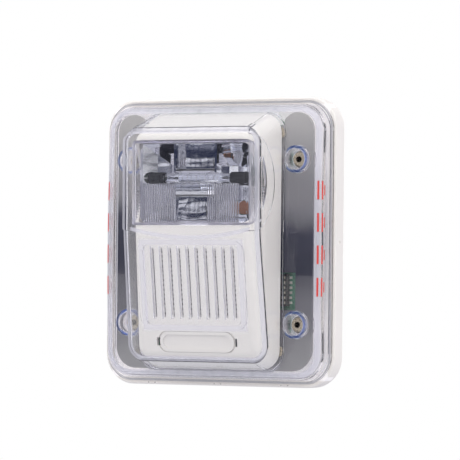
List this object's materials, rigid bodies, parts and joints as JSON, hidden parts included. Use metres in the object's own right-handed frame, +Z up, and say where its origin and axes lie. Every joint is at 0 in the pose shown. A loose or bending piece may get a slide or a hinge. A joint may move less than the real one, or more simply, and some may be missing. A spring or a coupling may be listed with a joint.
{
  "type": "horn strobe",
  "caption": "Wall-mounted fire-alarm horn strobe with a clear crowned cover, slotted horn grille and ribbed strobe lens over a chrome reflector.",
  "frame": {"origin": "centre of the mounting box's back face, on the wall plane", "axes": "+Z up the wall, +Y into the wall, the face looks along -Y, +X to the viewer's right"},
  "size_m": [0.131, 0.0445, 0.147],
  "materials": {
    "white_housing": "fine moulded texture, warm white",
    "seal_rubber": "soft black",
    "clear_cover": "clear polished polycarbonate",
    "screw_steel": "zinc plated",
    "washer_steel": "stamped",
    "brass": "turned",
    "white_bezel": "smooth moulded white",
    "clear_lens": "clear ribbed polycarbonate",
    "reflector_mirror": "vacuum-metallised, mirror bright",
    "tube_glass": "polished glass",
    "black_rubber": "moulded black",
    "tinned_wire": "bright tinned",
    "copper_winding": "enamelled copper",
    "grey_plate": "satin grey",
    "green_board": "solder mask",
    "black_plastic": "moulded black",
    "solder": "bright solder",
    "slider_cream": "cream moulded",
    "yoke_steel": "plated",
    "ferrite": "dark sintered",
    "diaphragm_metal": "thin rolled sheet",
    "horn_duct": "moulded dark grey",
    "screen_metal": "dark etched sheet",
    "wire_insulation": "red PVC",
    "capacitor_can": "dark sleeve",
    "chip_ceramic": "small soldered parts"
  },
  "bodies": {
    "housing": {"back_box": "white_housing", "cover_gasket": "seal_rubber", "clear_cover": "clear_cover", "cover_screws": "screw_steel", "cover_washers": "washer_steel", "thread_inserts": "brass", "bezel": "white_bezel", "name_plate": "white_bezel", "strobe_lens": "clear_lens", "reflector": "reflector_mirror", "flash_tube": "tube_glass", "tube_boots": "black_rubber", "tube_leads": "tinned_wire", "trigger_wire": "tinned_wire", "trigger_transformer": "copper_winding", "chassis_plate": "grey_plate", "circuit_board": "green_board", "board_spacers": "black_plastic", "board_screws": "screw_steel", "dip_body": "black_plastic", "dip_pads": "solder", "terminal_block": "black_plastic", "terminal_pins": "tinned_wire", "horn_case": "black_plastic", "horn_yoke": "yoke_steel", "horn_magnet": "ferrite", "horn_coil": "copper_winding", "horn_throat": "horn_duct", "insect_screen": "screen_metal", "horn_leads": "wire_insulation", "storage_capacitor": "capacitor_can", "inductor": "ferrite", "controller_chip": "black_plastic", "chip_parts": "chip_ceramic"},
    "dip_slider_1": {"dip_slider_1": "slider_cream"},
    "dip_slider_2": {"dip_slider_2": "slider_cream"},
    "dip_slider_3": {"dip_slider_3": "slider_cream"},
    "dip_slider_4": {"dip_slider_4": "slider_cream"},
    "dip_slider_5": {"dip_slider_5": "slider_cream"},
    "dip_slider_6": {"dip_slider_6": "slider_cream"},
    "terminal_screw_1": {"terminal_screw_1": "screw_steel"},
    "clamp_cage_1": {"clamp_cage_1": "brass"},
    "terminal_screw_2": {"terminal_screw_2": "screw_steel"},
    "clamp_cage_2": {"clamp_cage_2": "brass"},
    "terminal_screw_3": {"terminal_screw_3": "screw_steel"},
    "clamp_cage_3": {"clamp_cage_3": "brass"},
    "terminal_screw_4": {"terminal_screw_4": "screw_steel"},
    "clamp_cage_4": {"clamp_cage_4": "brass"},
    "diaphragm": {"horn_diaphragm": "diaphragm_metal"}
  },
  "joints": [
    {"name": "dip_switch_1", "type": "slide", "parent": "housing", "child": "dip_slider_1", "axis": [1, 0, 0], "range_m": [0, 0.0015]},
    {"name": "dip_switch_2", "type": "slide", "parent": "housing", "child": "dip_slider_2", "axis": [1, 0, 0], "range_m": [0, 0.0015]},
    {"name": "dip_switch_3", "type": "slide", "parent": "housing", "child": "dip_slider_3", "axis": [1, 0, 0], "range_m": [0, 0.0015]},
    {"name": "dip_switch_4", "type": "slide", "parent": "housing", "child": "dip_slider_4", "axis": [1, 0, 0], "range_m": [0, 0.0015]},
    {"name": "dip_switch_5", "type": "slide", "parent": "housing", "child": "dip_slider_5", "axis": [1, 0, 0], "range_m": [0, 0.0015]},
    {"name": "dip_switch_6", "type": "slide", "parent": "housing", "child": "dip_slider_6", "axis": [1, 0, 0], "range_m": [0, 0.0015]},
    {"name": "clamp_rise_1", "type": "slide", "parent": "housing", "child": "clamp_cage_1", "axis": [0, 1, 0], "range_m": [0, 0.0015]},
    {"name": "terminal_turn_1", "type": "hinge", "parent": "housing", "child": "terminal_screw_1", "pos_m": [-0.0099, -0.0008, -0.0135], "axis": [0, -1, 0], "range_deg": [0, 1080]},
    {"name": "clamp_rise_2", "type": "slide", "parent": "housing", "child": "clamp_cage_2", "axis": [0, 1, 0], "range_m": [0, 0.0015]},
    {"name": "terminal_turn_2", "type": "hinge", "parent": "housing", "child": "terminal_screw_2", "pos_m": [-0.0033, -0.0008, -0.0135], "axis": [0, -1, 0], "range_deg": [0, 1080]},
    {"name": "clamp_rise_3", "type": "slide", "parent": "housing", "child": "clamp_cage_3", "axis": [0, 1, 0], "range_m": [0, 0.0015]},
    {"name": "terminal_turn_3", "type": "hinge", "parent": "housing", "child": "terminal_screw_3", "pos_m": [0.0033, -0.0008, -0.0135], "axis": [0, -1, 0], "range_deg": [0, 1080]},
    {"name": "clamp_rise_4", "type": "slide", "parent": "housing", "child": "clamp_cage_4", "axis": [0, 1, 0], "range_m": [0, 0.0015]},
    {"name": "terminal_turn_4", "type": "hinge", "parent": "housing", "child": "terminal_screw_4", "pos_m": [0.0099, -0.0008, -0.0135], "axis": [0, -1, 0], "range_deg": [0, 1080]},
    {"name": "diaphragm_stroke", "type": "slide", "parent": "housing", "child": "diaphragm", "axis": [0, -1, 0], "range_m": [-0.0003, 0.0003]}
  ],
  "couplings": [
    {"joint": "terminal_turn_1", "follows": "clamp_rise_1", "rad_per_m": 12566},
    {"joint": "terminal_turn_2", "follows": "clamp_rise_2", "rad_per_m": 12566},
    {"joint": "terminal_turn_3", "follows": "clamp_rise_3", "rad_per_m": 12566},
    {"joint": "terminal_turn_4", "follows": "clamp_rise_4", "rad_per_m": 12566}
  ]
}
